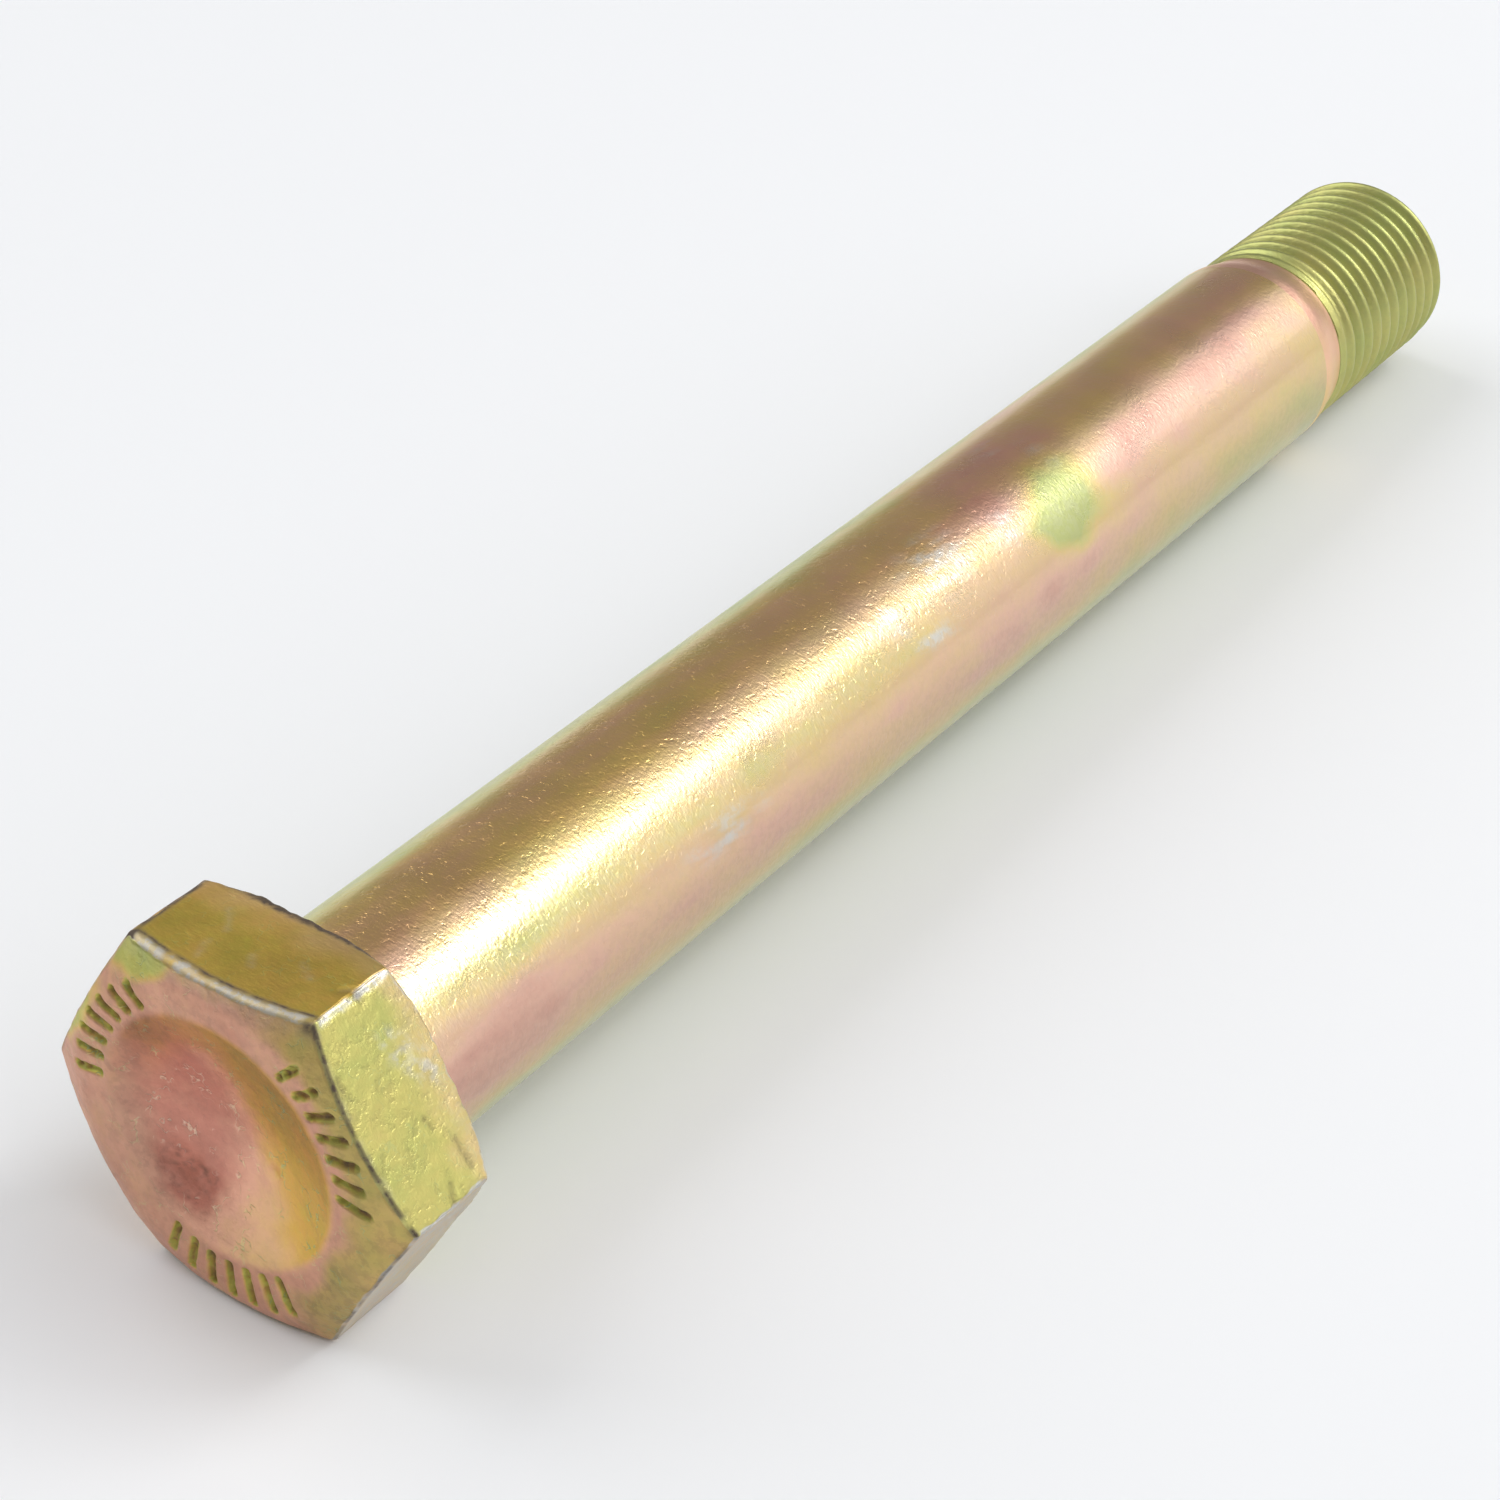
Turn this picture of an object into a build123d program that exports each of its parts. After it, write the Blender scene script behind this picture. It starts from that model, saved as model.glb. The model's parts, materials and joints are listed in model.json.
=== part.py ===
from build123d import *
import math
import os

# A close-tolerance hexagon-head shear bolt, one forged and turned piece of plated steel.
# It is modelled along +X, from the top of its head to its point, with a flat of the
# hexagon facing down, and is then laid at rest on Z = 0: the head's lower flat and the
# crests at the end of the thread touch the ground.
# Lengths are in millimetres and angles in degrees.

# Head
across_flats = 18.92
head_height = 6.52
top_face_diameter = 17.6
top_chamfer_angle = 25.0
bearing_face_diameter = 19.5
bearing_chamfer_angle = 28.0
chamfer_crown = 0.04

# Dish in the top of the head
dish_diameter = 13.2
dish_depth = 1.25
dish_rim_radius = 0.35

# Shank, which is ground to a close fit and carries the shear
shank_diameter = 12.67
grip_length = 92.1
under_head_fillet = 0.8
shoulder_length = 1.7
shoulder_drop = 0.42

# Thread of half inch, 20 turns to the inch, with a reduced major diameter. Rings at the
# pitch stand for its fine helix.
thread_diameter = 12.22
thread_length = 16.3
thread_pitch = 1.27
thread_angle = 60.0
crest_width = 0.2
root_width = 0.35
first_groove_share = 0.5
runout_length = 0.3
point_length = 1.8
point_drop = 1.15

# Derived sizes
shank_radius = shank_diameter / 2
thread_radius = thread_diameter / 2
corner_radius = across_flats / math.sqrt(3)
top_face_radius = top_face_diameter / 2
bearing_face_radius = bearing_face_diameter / 2
grip_end = head_height + grip_length
overall_length = grip_end + thread_length
neck_radius = shank_radius - shoulder_drop
runout_end = grip_end + runout_length
point_start = overall_length - point_length
point_radius = thread_radius - point_drop
flank_run = (thread_pitch - crest_width - root_width) / 2
thread_depth = flank_run / math.tan(math.radians(thread_angle / 2))


def chamfer_run(face_radius, angle):
    """Axial length of a chamfer from its face out to the hexagon's corners."""
    return (corner_radius - face_radius) * math.tan(math.radians(angle))


def revolved(outline):
    """Solid of revolution about X from a closed outline of X and radius."""
    return revolve(Plane.XZ * make_face(outline), Axis.X)


def hexagon_prism():
    hexagon = RegularPolygon(across_flats / 2, 6, major_radius=False)
    return extrude(Plane.YZ * hexagon, head_height)


def chamfer_envelope():
    """Turned shape whose slightly crowned chamfers cut the corners of the hexagon."""
    top_rim = (0, top_face_radius)
    top_corner = (chamfer_run(top_face_radius, top_chamfer_angle), corner_radius)
    bearing_run = chamfer_run(bearing_face_radius, bearing_chamfer_angle)
    bearing_corner = (head_height - bearing_run, corner_radius)
    bearing_rim = (head_height, bearing_face_radius)
    top_chamfer = SagittaArc(top_rim, top_corner, chamfer_crown)
    bearing_chamfer = SagittaArc(bearing_corner, bearing_rim, chamfer_crown)
    ends = Line((0, 0), top_rim) + Line(bearing_rim, (head_height, 0))
    sides = Line(top_corner, bearing_corner) + Line((head_height, 0), (0, 0))
    return revolved(ends + top_chamfer + sides + bearing_chamfer)


def dish():
    """Ball that sinks a shallow dish into the top of the head, with its poles on the X axis."""
    rim = dish_diameter / 2
    ball_radius = (rim**2 + dish_depth**2) / (2 * dish_depth)
    return Pos(X=dish_depth - ball_radius) * Rot(Y=90) * Sphere(ball_radius)


def head():
    blank = hexagon_prism() & chamfer_envelope()
    dished = blank - dish()
    rim = dished.edges().filter_by(GeomType.CIRCLE).sort_by(SortBy.RADIUS)[0]
    return fillet(rim, dish_rim_radius)


def groove(end, depth):
    """Corners of a groove of the thread whose flank nearer the point ends there."""
    start = end - (thread_pitch - crest_width)
    root = thread_radius - depth
    return [
        (start, thread_radius),
        (start + flank_run, root),
        (end - flank_run, root),
        (end, thread_radius),
    ]


def thread():
    """Corners of the thread's grooves: the first is shallow and the last crest is whole."""
    count = int((point_start - crest_width - runout_end) / thread_pitch)
    corners = []
    for number in range(count):
        groove_end = point_start - crest_width - (count - 1 - number) * thread_pitch
        share = first_groove_share if number == 0 else 1
        corners += groove(groove_end, share * thread_depth)
    return corners


def stem():
    """Shank, shoulder, thread run-out, threaded length and chamfered point."""
    fillet_start = (head_height, shank_radius + under_head_fillet)
    fillet_end = (head_height + under_head_fillet, shank_radius)
    side = Polyline(
        fillet_end,
        (grip_end - shoulder_length, shank_radius),
        (grip_end, neck_radius),
        (runout_end, thread_radius),
        *thread(),
        (point_start, thread_radius),
        (overall_length, point_radius),
        (overall_length, 0),
        (head_height, 0),
        fillet_start,
    )
    root = TangentArc(fillet_start, fillet_end, tangent=(0, -1))
    return revolved(side + root)


def rest_angle():
    """Tilt at which the head's lower flat and the end of the thread both touch down."""
    reach = point_start - head_height
    return math.degrees(math.atan2(across_flats / 2 - thread_radius, reach))


def rest_location(solid):
    """Move that puts the middle of the bolt over the origin and its lowest point on Z = 0."""
    box = solid.bounding_box()
    return Pos(-box.center().X, -box.center().Y, -box.min.Z)


def shear_bolt():
    bolt = Rot(Y=rest_angle()) * (head() + stem())
    return rest_location(bolt) * bolt


os.makedirs("parts", exist_ok=True)
bolt = shear_bolt()
bolt.label = "shear_bolt"
export_step(bolt, "parts/shear_bolt.step")
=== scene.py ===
import json
import math

import bpy
import numpy as np
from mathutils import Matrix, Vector, noise


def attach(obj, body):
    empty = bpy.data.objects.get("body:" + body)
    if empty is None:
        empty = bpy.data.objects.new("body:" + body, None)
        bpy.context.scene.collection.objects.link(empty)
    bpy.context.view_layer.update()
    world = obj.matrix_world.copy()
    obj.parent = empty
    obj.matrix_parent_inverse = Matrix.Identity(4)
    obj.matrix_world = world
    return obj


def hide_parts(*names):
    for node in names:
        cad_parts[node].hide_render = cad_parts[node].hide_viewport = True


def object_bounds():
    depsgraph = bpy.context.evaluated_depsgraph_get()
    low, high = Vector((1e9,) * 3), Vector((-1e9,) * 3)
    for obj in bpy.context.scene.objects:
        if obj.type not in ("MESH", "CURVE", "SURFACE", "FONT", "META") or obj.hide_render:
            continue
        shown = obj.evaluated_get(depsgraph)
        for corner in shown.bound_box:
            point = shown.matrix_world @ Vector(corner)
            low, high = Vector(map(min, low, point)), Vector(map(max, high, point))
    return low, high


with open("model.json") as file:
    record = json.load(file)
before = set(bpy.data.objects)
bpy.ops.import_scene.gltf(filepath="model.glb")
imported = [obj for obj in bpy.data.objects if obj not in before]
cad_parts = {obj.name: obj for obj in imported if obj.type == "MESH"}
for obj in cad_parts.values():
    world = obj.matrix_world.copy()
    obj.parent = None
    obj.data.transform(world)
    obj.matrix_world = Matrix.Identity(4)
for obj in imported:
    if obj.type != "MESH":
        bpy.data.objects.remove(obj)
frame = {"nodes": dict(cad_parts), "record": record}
cad_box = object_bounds()

# The bolt is built in its own coordinates, in millimetres: x runs along the axis from the
# top of the head to the point, and an angle turns about the axis from the upper flat
# towards -Y.
MM = 0.001

# Head
TOP_FACE_RADIUS = 8.8
TOP_CHAMFER = math.radians(25)
BEARING_FACE_RADIUS = 9.75
BEARING_CHAMFER = math.radians(28)
DISH_RADIUS = 6.6
DISH_DEPTH = 1.25
DISH_OFFSET = 0.45
RIM_ROUND = 0.32
CHAMFER_BLEND = 0.5
CORNER_ROUND = 0.28
EDGE_ROUND = 0.2

# Stem
UNDER_HEAD_FILLET = 0.8
SHOULDER_LENGTH = 1.7
SHOULDER_DROP = 0.42
SHOULDER_ROUND = 0.35
SHOULDER_LEAD = 0.8
RUNOUT = 0.3
THREAD_INSET = 0.35
POINT_LENGTH = 1.8
POINT_DROP = 1.15
POINT_ROUND = 0.25
POINT_CLEARANCE = 0.06
POINT_CURVE = 0.05
PITCH = 1.27
CREST = 0.2
CREST_RISE = 0.5
THREAD_DEPTH = 0.62
FLANK_START, FLANK_END = 0.12, 0.9
VANISH_TURNS = 1.4

# Strokes struck into the ring round the dish, three like groups of short radial lines
STROKE_GROUPS = 3
STROKES_IN_GROUP = 7
STROKE_TURN = math.radians(8.4)
STROKE_INNER = 7.35
STROKE_OUTER = 8.75
STROKE_WIDTH = 0.52
STROKE_BOTTOM = 0.06
STROKE_SLOPE = 0.08
STROKE_DEPTH = 0.26

# Mesh
FLAT_COLUMNS = 70
CORNER_COLUMNS = 10
SIDE_COLUMNS = FLAT_COLUMNS + CORNER_COLUMNS
HEAD_COLUMNS = 6 * SIDE_COLUMNS
COLUMN_STEP = 3
STEM_COLUMNS = HEAD_COLUMNS // COLUMN_STEP
ROWS_PER_PITCH = 11
DISH_RINGS, RIM_RINGS, FACE_RINGS, CHAMFER_RINGS, FLAT_RINGS = 33, 7, 16, 9, 26
FILLET_RINGS, SHANK_RINGS, SHOULDER_RINGS, POINT_RINGS = 8, 89, 20, 5

# Zones of the surface, from the middle of the dish to the point
DISH, RING, CHAMFER, FRONT_EDGE, FLAT, BACK_EDGE, BEARING = range(7)
FILLET, SHANK, SHOULDER, THREAD, POINT = range(7, 12)

# Camera, with its places in millimetres of the shared frame
LENS = 80.06
SENSOR = 36.0
CAMERA_PLACE = (-134.46, -83.66, 112.66)
CAMERA_AIM = (-16.38, -0.36, 8.07)
CAMERA_ROLL = math.radians(0.22)

# Soft lights: azimuth and elevation in degrees, distance, width and height in metres, watts
LIGHTS = {
    "window": (-43, 48, 1.0, 0.38, 0.38, 2.55),
    "far_window": (-18, 28, 1.0, 0.5, 0.4, 0.46),
    "right": (-85, 40, 1.2, 1.0, 1.0, 3.5),
    "high_right": (-100, 58, 1.2, 1.0, 1.0, 1.9),
    "overhead": (-30, 74, 1.4, 1.2, 1.2, 1.5),
    "left": (98, 43, 1.15, 1.0, 1.0, 5.9),
    "wall": (-50, 14, 1.2, 1.4, 0.5, 1.25),
}
WORLD_STRENGTH = 0.29
FLOOR_REACH = 4.0
FLOOR_COLOUR = (0.886, 0.897, 0.918, 1)


# Frame


def mount(name):
    return next(m for m in frame["record"]["mounts"] if m["name"] == name)


def place(name):
    return Vector(mount(name)["pos_m"]) / MM


AXIS = Vector(mount("shank")["axis"]).normalized()
UP = Vector(mount("wrench_flat_upper")["axis"]).normalized()
SIDE = AXIS.cross(UP)
TOP_CENTRE = place("shank") + AXIS * AXIS.dot(place("head_top") - place("shank"))
HEAD_HEIGHT = AXIS.dot(place("bearing_face") - place("head_top"))
APOTHEM = UP.dot(place("wrench_flat_upper") - place("wrench_flat_lower")) / 2
SHANK_RADIUS = mount("shank")["dims"]["r_mm"]
THREAD_RADIUS = mount("thread")["dims"]["r_mm"]
CAD_MESH = frame["nodes"]["shear_bolt"].data
LENGTH = max(AXIS.dot(v.co / MM - TOP_CENTRE) for v in CAD_MESH.vertices)
THREAD_MIDDLE = AXIS.dot(place("thread") - TOP_CENTRE)
THREAD_HALF = mount("thread")["dims"]["length_mm"] / 2
GRIP_END = THREAD_MIDDLE - THREAD_HALF - RUNOUT
THREAD_START = GRIP_END + THREAD_INSET
SHOULDER_START = GRIP_END - SHOULDER_LENGTH
NECK_RADIUS = SHANK_RADIUS - SHOULDER_DROP
POINT_START = LENGTH - POINT_LENGTH
POINT_RIM = LENGTH - POINT_ROUND


def to_frame(x, radius, turn):
    """Points of the shared frame, in metres, from the bolt's own coordinates."""
    along = np.outer(x, AXIS)
    up = np.outer(radius * np.cos(turn), UP)
    side = np.outer(radius * np.sin(turn), SIDE)
    return (np.array(TOP_CENTRE) + along + up + side) * MM


# Numbers


def smooth(low, high, value):
    share = np.clip((value - low) / (high - low), 0, 1)
    return share * share * (3 - 2 * share)


def bump(distance, reach):
    """1 at the middle, falling smoothly to 0 at the reach."""
    return 1 - smooth(0, 1, distance / reach)


def band(value, middle, reach):
    return bump(np.abs(value - middle), reach)


def steps(count):
    """Shares of the way from a start, which is left out, to an end."""
    return np.linspace(0, 1, count + 1)[1:]


def wander(points, scale, seed):
    """Smooth noise about 0 at each point, with features of about the scale."""
    shift = Vector((seed * 7.3, seed * 3.1, seed * 5.7))
    return np.array([noise.noise(Vector(p) / scale + shift) for p in points])


def turn_gap(turn, middle):
    """Signed angle from the middle, between -pi and pi."""
    return (turn - middle + math.pi) % (2 * math.pi) - math.pi


# Sections


def hexagon_section():
    """Angle and radius of each column round the hexagon, with slightly rounded corners."""
    half = (APOTHEM - CORNER_ROUND) * math.tan(math.pi / 6)
    places = (np.arange(FLAT_COLUMNS) + 0.5) / FLAT_COLUMNS * 2 - 1
    flat = np.stack([np.full(FLAT_COLUMNS, APOTHEM), places * half], axis=1)
    arcs = (np.arange(CORNER_COLUMNS) + 0.5) / CORNER_COLUMNS * math.pi / 3
    centre = np.array([APOTHEM - CORNER_ROUND, half])
    corner = centre + CORNER_ROUND * np.stack([np.cos(arcs), np.sin(arcs)], axis=1)
    side = np.concatenate([flat, corner])
    turns = np.arctan2(side[:, 1], side[:, 0])
    radii = np.hypot(side[:, 0], side[:, 1])
    every = np.concatenate([turns + number * math.pi / 3 for number in range(6)])
    return every, np.tile(radii, 6)


def dish_x(radius):
    ball = (DISH_RADIUS**2 + DISH_DEPTH**2) / (2 * DISH_DEPTH)
    return np.sqrt(ball**2 - radius**2) - (ball - DISH_DEPTH)


def chamfer_x(radius):
    """Fall of the chamfer, which blends into the top face."""
    beyond = radius - TOP_FACE_RADIUS
    return (beyond + np.hypot(beyond, CHAMFER_BLEND)) / 2 * math.tan(TOP_CHAMFER)


def back_x(radius):
    drop = np.maximum(radius - BEARING_FACE_RADIUS, 0) * math.tan(BEARING_CHAMFER)
    return HEAD_HEIGHT - drop


def bezier(start, corner, end, share):
    """Point of the curve that rounds off a corner, as x and radius."""
    rest = 1 - share
    x = rest**2 * start[0] + 2 * rest * share * corner[0] + share**2 * end[0]
    radius = rest**2 * start[1] + 2 * rest * share * corner[1] + share**2 * end[1]
    return x, radius


def edge_wear(turns, seed):
    """Uneven rounding of an edge that runs round the head."""
    around = np.stack([np.cos(turns) * 11, np.sin(turns) * 11, turns * 0], axis=1)
    return wander(around, 1.3, seed) + 0.6 * wander(around, 0.45, seed + 1)


class Rings:
    """Closed mesh built as rings of points, from the middle of the dish to the point."""

    def __init__(self):
        self.x = []
        self.radius = []
        self.turn = []
        self.zone = []
        self.count = 0
        self.faces = []
        self.last = None

    def points(self, x, radius, turn, zone):
        """Adds points, and returns their numbers."""
        size = len(turn)
        self.x.append(np.broadcast_to(x, size).astype(float))
        self.radius.append(np.broadcast_to(radius, size).astype(float))
        self.turn.append(turn)
        self.zone.append(np.full(size, zone))
        self.count += size
        return list(range(self.count - size, self.count))

    def add(self, x, radius, turn, zone):
        """Adds a ring, and joins it to the last one, whose columns may be more or fewer."""
        ring = self.points(x, radius, turn, zone)
        if self.last is not None:
            self.join(self.last, ring)
        self.last = ring

    def join(self, one, two):
        if len(one) < len(two):
            self.faces += [face[::-1] for face in self.strip(two, one)]
        else:
            self.faces += self.strip(one, two)

    @staticmethod
    def strip(fine, coarse):
        """Faces between two rings, where one face may take several of the fine columns."""
        size = len(coarse)
        if size == 1:
            return [(fine[i - 1], fine[i], coarse[0]) for i in range(len(fine))]
        step = len(fine) // size
        faces = []
        for i in range(size):
            nearer = [fine[(i * step + k) % len(fine)] for k in range(step + 1)]
            faces.append((*nearer, coarse[(i + 1) % size], coarse[i]))
        return faces


def head_rings(mesh, turns, section):
    """Dish, ring, chamfer, flats and bearing face."""
    rim_inner = DISH_RADIUS - 1.7 * RIM_ROUND
    mesh.add(dish_x(0.0), 0.0, turns[:1], DISH)
    for radius in np.linspace(0, rim_inner, DISH_RINGS + 1)[1:]:
        thinning = 8 if radius < 0.9 else 4 if radius < 2.2 else 2
        mesh.add(dish_x(radius), radius, turns[::thinning], DISH)
    soft = 1 + 0.5 * np.cos(turns - math.radians(225))
    start = (dish_x(DISH_RADIUS - RIM_ROUND * soft), DISH_RADIUS - RIM_ROUND * soft)
    end = (0.0, DISH_RADIUS + 0.8 * RIM_ROUND * soft)
    mesh.add(*start, turns, DISH)
    for share in steps(RIM_RINGS):
        x, radius = bezier(start, (0.0, DISH_RADIUS), end, share)
        mesh.add(x, radius, turns, RING)
    for share in steps(FACE_RINGS):
        radius = end[1] + share * (TOP_FACE_RADIUS - end[1])
        mesh.add(share * chamfer_x(radius), radius, turns, RING)
    upper = np.abs(turn_gap(turns, 0.0)) < math.radians(29)
    worn = 1 + 0.5 * edge_wear(turns, 1.0) + 0.5 * upper
    edge_x, rounding = chamfer_x(section), EDGE_ROUND * worn
    edge_in = section - rounding
    for share in steps(CHAMFER_RINGS):
        radius = TOP_FACE_RADIUS + share * (edge_in - TOP_FACE_RADIUS)
        mesh.add(chamfer_x(radius), radius, turns, CHAMFER)
    inner, outer = (chamfer_x(edge_in), edge_in), (edge_x + rounding, section)
    for share in (0.25, 0.5, 0.75, 1.0):
        mesh.add(*bezier(inner, (edge_x, section), outer, share), turns, FRONT_EDGE)
    worn = np.clip(1 + 1.1 * edge_wear(turns, 4.0), 0.3, 2.2)
    back_edge, rounding = back_x(section), EDGE_ROUND * worn
    for share in steps(FLAT_RINGS):
        x = outer[0] + share * (back_edge - rounding - outer[0])
        mesh.add(x, section, turns, FLAT)
    inner = (back_x(section - rounding), section - rounding)
    for share in (0.33, 0.67, 1.0):
        curve = bezier((back_edge - rounding, section), (back_edge, section), inner, share)
        mesh.add(*curve, turns, BACK_EDGE)
    root = SHANK_RADIUS + UNDER_HEAD_FILLET + 0.6
    for share in (0.3, 0.65, 1.0):
        radius = inner[1] + share * (root - inner[1])
        mesh.add(back_x(radius), radius, turns, BEARING)


def stem_rings(mesh, turns):
    """Under-head fillet, shank and rounded shoulder, up to the start of the thread."""
    fillet = UNDER_HEAD_FILLET
    for angle in np.linspace(0, math.pi / 2, FILLET_RINGS):
        x = HEAD_HEIGHT + fillet * (1 - math.cos(angle))
        radius = SHANK_RADIUS + fillet * (1 - math.sin(angle))
        mesh.add(x, radius, turns, FILLET)
    shank_end = SHOULDER_START - SHOULDER_LEAD
    for x in np.linspace(HEAD_HEIGHT + fillet, shank_end, SHANK_RINGS + 1)[1:]:
        mesh.add(x, SHANK_RADIUS, turns, SHANK)
    for x in np.linspace(shank_end, THREAD_START, SHOULDER_RINGS + 2)[1:-1]:
        mesh.add(x, shoulder_radius(x), turns, SHOULDER)


def shoulder_radius(x):
    """Shank, a cone down from it and the neck, with their meeting lines softened."""
    spread = np.linspace(-SHOULDER_ROUND, SHOULDER_ROUND, 9) + x
    fall = np.clip((spread - SHOULDER_START) / SHOULDER_LENGTH, 0, 1) * SHOULDER_DROP
    return SHANK_RADIUS - fall.mean()


def thread_profile(x, turn):
    """Depth below the crests of the right-hand thread, 0 to 1."""
    last_crest = POINT_START - CREST / 2
    phase = ((x - last_crest) / PITCH - turn / (2 * math.pi)) % 1.0
    rise = np.abs(phase - 0.5) * 2
    return smooth(FLANK_START, FLANK_END, 1 - rise)


def thread_radius(x, turn):
    """The thread rises out of the neck, and the point's cone cuts it off."""
    risen = smooth(THREAD_START, THREAD_START + CREST_RISE, x)
    crest = NECK_RADIUS + (THREAD_RADIUS - NECK_RADIUS) * risen
    cut = smooth(THREAD_START, THREAD_START + VANISH_TURNS * PITCH, x)
    radius = crest - THREAD_DEPTH * cut * thread_profile(x, turn)
    lean = POINT_DROP / POINT_LENGTH
    into = np.maximum(x - POINT_START, 0)
    cone = THREAD_RADIUS + POINT_CLEARANCE - lean * into - POINT_CURVE * into**2
    return np.minimum(radius, cone)


def thread_rings(mesh, turns):
    """Rows that follow the helix, cut off square at both ends of the thread."""
    start, end = THREAD_START, POINT_RIM
    count, step = len(turns), PITCH / ROWS_PER_PITCH
    rows = range(-ROWS_PER_PITCH, int((end - start) / step) + ROWS_PER_PITCH)
    found, grid = {}, {}
    for row in rows:
        for column in range(count + 1):
            x = start + row * step + PITCH * column / count
            x = round(min(max(x, start), end), 5)
            grid[row, column] = (x, column % count)
            found.setdefault(grid[row, column], len(found))
    places = np.array(list(found))
    x, turn = places[:, 0], turns[places[:, 1].astype(int)]
    numbers = mesh.points(x, thread_radius(x, turn), turn, THREAD)
    number_of = {spot: numbers[order] for spot, order in found.items()}
    mesh.join(mesh.last, [number_of[round(start, 5), column] for column in range(count)])
    for row in rows[:-1]:
        for column in range(count):
            spots = (
                grid[row, column],
                grid[row, column + 1],
                grid[row + 1, column + 1],
                grid[row + 1, column],
            )
            distinct = list(dict.fromkeys(number_of[spot] for spot in spots))
            if len(distinct) > 2:
                mesh.faces.append(tuple(distinct[::-1]))
    mesh.last = [number_of[round(end, 5), column] for column in range(count)]


def point_rings(mesh, turns):
    """Rounded rim and flat face of the point."""
    rim = thread_radius(POINT_RIM, 0.0)
    inner = rim - 2.2 * POINT_ROUND
    for share in steps(POINT_RINGS):
        start, corner = (POINT_RIM, rim), (LENGTH, rim - POINT_ROUND)
        mesh.add(*bezier(start, corner, (LENGTH, inner), share), turns, POINT)
    for share in (0.75, 0.5):
        mesh.add(LENGTH, share * inner, turns, POINT)
    mesh.add(LENGTH, 0.25 * inner, turns[::4], POINT)
    mesh.add(LENGTH, 0.0, turns[:1], POINT)


# Marks and wear in the shape


def strokes(radius, turn):
    """Depth of the struck radial lines, 0 to 1, at each point."""
    depth = np.zeros(len(turn))
    for group in range(STROKE_GROUPS):
        middle = math.pi + group * 2 * math.pi / STROKE_GROUPS
        for line in range(STROKES_IN_GROUP):
            at = middle + (line - (STROKES_IN_GROUP - 1) / 2) * STROKE_TURN
            across = np.abs(turn_gap(turn, at)) * radius
            past = np.maximum(np.maximum(STROKE_INNER - radius, radius - STROKE_OUTER), 0)
            reach = np.hypot(across, past)
            slope = smooth(STROKE_BOTTOM, STROKE_WIDTH / 2 + STROKE_SLOPE, reach)
            depth = np.maximum(depth, 1 - slope)
    return depth


class Surface:
    """The bolt's points in its own coordinates, with the fields that its looks follow."""

    def __init__(self, mesh):
        self.x, self.radius = np.concatenate(mesh.x), np.concatenate(mesh.radius)
        self.turn, self.zone = np.concatenate(mesh.turn), np.concatenate(mesh.zone)
        self.up = self.radius * np.cos(self.turn)
        self.right = self.radius * np.sin(self.turn)
        self.spots = np.stack([self.x, self.right, self.up], axis=1)
        self.from_top = np.degrees(turn_gap(self.turn, 0.0))
        self.side = (np.round(self.turn / (math.pi / 3)) % 6).astype(int)
        self.across = turn_gap(self.turn, self.side * math.pi / 3)
        self.face = self.within(DISH, RING, CHAMFER)
        self.flats = self.within(FRONT_EDGE, FLAT, BACK_EDGE)
        self.edge = self.within(FRONT_EDGE)
        self.shank = self.within(SHANK, FILLET)
        self.thread = self.within(THREAD, POINT)
        uneven = np.clip(0.95 + 0.9 * self.cloud(0.4, 46.0), 0, 1.15)
        self.struck = self.within(RING, CHAMFER) * strokes(self.radius, self.turn) * uneven

    def within(self, *zones):
        return np.isin(self.zone, zones).astype(float)

    def by_side(self, *values):
        """One value for each of the six flats, from the upper one on."""
        return np.choose(self.side, values)

    def near(self, x, right, up, reach):
        """1 at a place on the surface, falling to 0 at the reach."""
        gap = self.spots - np.array([x, right, up])
        return bump(np.sqrt((gap**2).sum(axis=1)), reach)

    def stain(self, x, turn, reach_x, reach_turn):
        """1 at a place on the stem, falling to 0 at the reach along it and round it."""
        along = (self.x - x) / reach_x
        round_it = turn_gap(self.turn, math.radians(turn)) / math.radians(reach_turn)
        uneven = 0.22 * self.cloud(3.0, x) + 0.12 * self.cloud(1.0, x)
        return bump(np.hypot(along, round_it) + uneven, 1.0)

    def line(self, side, start, end, width):
        """1 along a straight mark on a flat, between two places given as x and across."""
        here = np.stack([self.x, self.radius * np.sin(self.across)], axis=1)
        run = np.array(end) - np.array(start)
        share = np.clip((here - start) @ run / (run @ run), 0, 1)
        gap = np.hypot(*(here - start - share[:, None] * run).T)
        return bump(gap, width) * (self.side == side)

    def cloud(self, scale, seed, stretch=1.0):
        """Smooth noise about 0, drawn out along the bolt by the stretch."""
        return wander(self.spots / np.array([stretch, 1, 1]), scale, seed)


# Nicks in the flats: side, both ends as x and across, and width
NICKS = (
    (0, (3.9, 5.4), (3.5, 4.9), 0.32),
    (1, (3.7, -5.5), (3.9, -4.9), 0.34),
    (1, (3.6, 5.5), (3.9, 4.5), 0.26),
    (1, (5.2, 3.0), (5.4, 4.6), 0.24),
    (1, (4.1, 1.2), (4.4, 2.0), 0.20),
    (1, (0.9, -2.8), (1.0, -1.6), 0.20),
)

# Dents in the top of the head: place, reach and depth, which is negative where it stands out
FACE_DENTS = (
    ((DISH_DEPTH, -2.4, -3.9), 1.1, 0.16),
    ((DISH_DEPTH, -1.7, -4.7), 0.7, 0.10),
    ((DISH_DEPTH, 2.4, -1.2), 0.7, 0.10),
    ((0.8, 0.8, -5.4), 0.9, -0.10),
)


def flat_nicks(s):
    """Nicks in the edges and faces of the flats."""
    return sum(s.line(*nick) for nick in NICKS) * s.flats


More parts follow.
